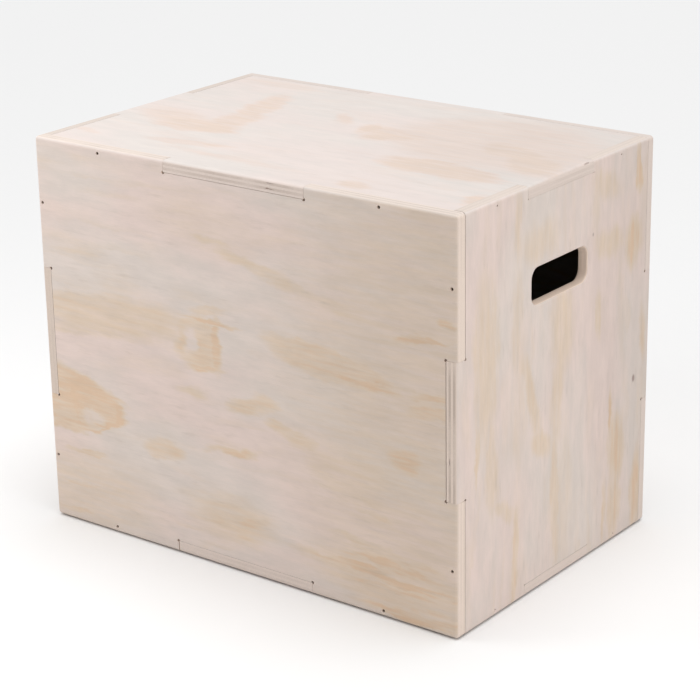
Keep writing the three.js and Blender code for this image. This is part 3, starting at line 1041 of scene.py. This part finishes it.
BACK_FIGURES = (
    *flame(170, 215, 230, 50, 4, -42),
    *flame(600, 400, 200, 40, -5, 36),
    Figure(600, 120, 150, 10, 5, 0.60, 0.60),
    Figure(420, 150, 70, 12, -8, 0.50, 0.70),
    Figure(150, 400, 120, 14, -6, 0.55, 0.60),
    Figure(200, 480, 150, 9, -4, 0.70, 0.60),
    Figure(340, 520, 60, 14, 12, 0.55, 0.65),
    Figure(420, 560, 170, 8, 2, 0.62, 0.60),
    Figure(400, 50, 130, 9, -3, 0.55, 0.60),
    Figure(680, 290, 80, 9, 6, 0.60, 0.60),
    Figure(440, 300, 60, 20, 0, 0.42, 0.70),
    Figure(690, 510, 60, 30, 0, 0.60, 0.60, "darkened"),
    Figure(640, 500, 3.5, 3, 0, 0.85, 0.5, "knot"),
)

LEFT_FIGURES = (
    *flame(310, 420, 36, 190, 4, 34),
    Figure(90, 250, 18, 190, 4, 0.60, 0.55),
    Figure(62, 470, 14, 110, -6, 0.62, 0.60),
    Figure(165, 440, 18, 120, -12, 0.60, 0.55),
    Figure(420, 200, 15, 150, -4, 0.66, 0.60),
    Figure(455, 500, 14, 90, 0, 0.75, 0.60),
    Figure(350, 60, 30, 50, 20, 0.52, 0.65),
    Figure(160, 70, 34, 22, 0, 0.50, 0.65),
)

BOTTOM_FIGURES = (
    *flame(540, 180, 210, 54, -4, 40),
    Figure(200, 340, 150, 26, 6, 0.60, 0.45),
    Figure(150, 200, 80, 30, -10, 0.50, 0.60),
    Figure(240, 90, 170, 10, 3, 0.60, 0.60),
    Figure(560, 420, 150, 12, -2, 0.66, 0.60),
    Figure(380, 460, 120, 8, 2, 0.60, 0.60),
)

# Each veneer's figures and colours, the noise it starts from, how pale the board's cut edges are,
# and how plainly the plies show in them.
TAN = {"latewood": LATE_TAN, "deep_latewood": LATE_ORANGE}
PEACH = {"latewood": LATE_PEACH, "deep_latewood": LATE_ROSE}
FACES = {
    "front_panel": {
        "figures": FRONT_FIGURES, "seed": 4.0, **TAN,
        "edge": EDGE_GRAIN, "edge_shade": 1.0, "ply_contrast": 0.6,
    },
    "back_panel": {
        "figures": BACK_FIGURES, "seed": 52.0, **TAN,
        "edge": EDGE_PINK, "edge_shade": 0.96, "ply_contrast": 0.4,
    },
    "left_end_panel": {
        "figures": LEFT_FIGURES, "seed": 105.0, **TAN,
        "edge": EDGE_GRAIN, "edge_shade": 0.84, "ply_contrast": 0.2,
    },
    "right_end_panel": {
        "figures": RIGHT_FIGURES, "seed": 158.0, **TAN,
        "edge": EDGE_GRAIN, "edge_shade": 0.92, "ply_contrast": 0.9,
    },
    "top_panel": {
        "figures": TOP_FIGURES, "seed": 203.0, **PEACH,
        "edge": EDGE_PINK, "edge_shade": 0.96, "ply_contrast": 0.6,
    },
    "bottom_panel": {
        "figures": BOTTOM_FIGURES, "seed": 251.0, **TAN,
        "edge": EDGE_PINK, "edge_shade": 0.98, "ply_contrast": 0.25,
    },
}


# ---- Steel ----

OXIDE_BROWN = (0.090, 0.060, 0.042, 1)
WORN_STEEL = (0.240, 0.190, 0.150, 1)
OXIDE_METALLIC = 0.85

# How many clouds of oxide there are a metre, and how finely they break up.
OXIDE_CLOUDS = 1400
OXIDE_DETAIL = 4


def browned_steel():
    """Dull brown oxide, a little worn to bare metal."""
    nodes = Nodes("browned_steel")
    cloud = nodes.add("ShaderNodeTexNoise")
    nodes.feed(cloud.inputs["Vector"], nodes.add("ShaderNodeTexCoord").outputs["Object"])
    cloud.inputs["Scale"].default_value = OXIDE_CLOUDS
    cloud.inputs["Detail"].default_value = OXIDE_DETAIL
    wear = nodes.fade(cloud.outputs[0], 0.55, 0.75)
    nodes.feed(nodes.shader.inputs["Base Color"], nodes.mix(wear, OXIDE_BROWN, WORN_STEEL))
    nodes.feed(nodes.shader.inputs["Roughness"], nodes.fade(cloud.outputs[0], 0.3, 0.7, 0.42, 0.6))
    nodes.shader.inputs["Metallic"].default_value = OXIDE_METALLIC
    return nodes.material


# ---- The box ----

envelope_mesh = outer_envelope()
for board_name, face in FACES.items():
    piece = make_board(board_name, envelope_mesh)
    material = plywood(board_name, face)
    piece.data.materials.clear()
    piece.data.materials.append(material)
    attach(piece, "root")
    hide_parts(board_name)

steel_screw = screw_mesh()
steel_screw.materials.clear()
steel_screw.materials.append(browned_steel())
for screw_name, (head, direction) in SCREWS.items():
    piece = new_object(screw_name + "_steel", steel_screw)
    piece.matrix_world = turned_to(direction, head)
    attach(piece, "root")
    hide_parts(screw_name)


# ---- Floor, light and camera ----

FLOOR_SIZE = 60
FLOOR_CLEARANCE = 2 * MM
FLOOR_GREY = (0.86, 0.86, 0.86, 1)
FLOOR_ROUGHNESS = 0.9
FLOOR_SPECULAR = 0.1
WORLD_WHITE = (1, 1, 1, 1)
WORLD_STRENGTH = 0.45


def studio_floor():
    nodes = Nodes("pale_floor")
    nodes.shader.inputs["Base Color"].default_value = FLOOR_GREY
    nodes.shader.inputs["Roughness"].default_value = FLOOR_ROUGHNESS
    nodes.shader.inputs["Specular IOR Level"].default_value = FLOOR_SPECULAR
    body = bmesh.new()
    bmesh.ops.create_grid(body, x_segments=1, y_segments=1, size=FLOOR_SIZE / 2)
    floor = new_object("floor", mesh_from(body, "floor"))
    floor.data.materials.append(nodes.material)
    floor.location.z = BOX_LOW.z - FLOOR_CLEARANCE


def add_light(name, light, place, aim):
    made = bpy.data.objects.new(name, light)
    bpy.context.scene.collection.objects.link(made)
    made.location = place
    made.rotation_euler = (Vector(place) - Vector(aim)).to_track_quat("Z", "Y").to_euler()
    made.visible_camera = False


def softbox(name, place, aim, size, power):
    light = bpy.data.lights.new(name, "AREA")
    light.shape = "SQUARE"
    light.size = size
    light.energy = power
    add_light(name, light, place, aim)


def ceiling_light(place, spread, strength):
    """Even light from above, the same all over the floor, spread over an angle in degrees."""
    light = bpy.data.lights.new("ceiling", "SUN")
    light.angle = math.radians(spread)
    light.energy = strength
    add_light("ceiling", light, place, (0, 0, 0))


def plain_world():
    world = bpy.data.worlds.new("studio")
    bpy.context.scene.world = world
    world.use_nodes = True
    background = world.node_tree.nodes["Background"]
    background.inputs["Color"].default_value = WORLD_WHITE
    background.inputs["Strength"].default_value = WORLD_STRENGTH


studio_floor()
plain_world()
softbox("left", place=(-1.0, -1.0, 1.1), aim=(-0.38, -0.25, 0.6), size=0.8, power=6.0)
softbox("right", place=(2.1, -0.45, 0.9), aim=(0.38, -0.1, 0.45), size=1.2, power=7.2)
ceiling_light(place=(0.35, 0.1, 3.0), spread=50, strength=1.85)
bpy.context.scene.view_settings.view_transform = "Standard"

CAMERA_LENS = 116.8
CAMERA_SENSOR = 36
CAMERA_AIM = Vector((0, 0.011, 0.2712))
CAMERA_DISTANCE = 3.4638
CAMERA_AZIMUTH = math.radians(37.40)
CAMERA_ELEVATION = math.radians(19.585)
CAMERA_ROLL = math.radians(-0.98)
camera = bpy.data.objects.new("camera", bpy.data.cameras.new("camera"))
bpy.context.scene.collection.objects.link(camera)
camera.data.lens = CAMERA_LENS
camera.data.sensor_width = CAMERA_SENSOR
backward = Vector((
    math.sin(CAMERA_AZIMUTH) * math.cos(CAMERA_ELEVATION),
    -math.cos(CAMERA_AZIMUTH) * math.cos(CAMERA_ELEVATION),
    math.sin(CAMERA_ELEVATION),
))
levelled = (-backward).to_track_quat("-Z", "Y").to_matrix().to_4x4()
rolled = levelled @ Matrix.Rotation(CAMERA_ROLL, 4, "Z")
camera.matrix_world = Matrix.Translation(CAMERA_AIM + backward * CAMERA_DISTANCE) @ rolled
bpy.context.scene.camera = camera
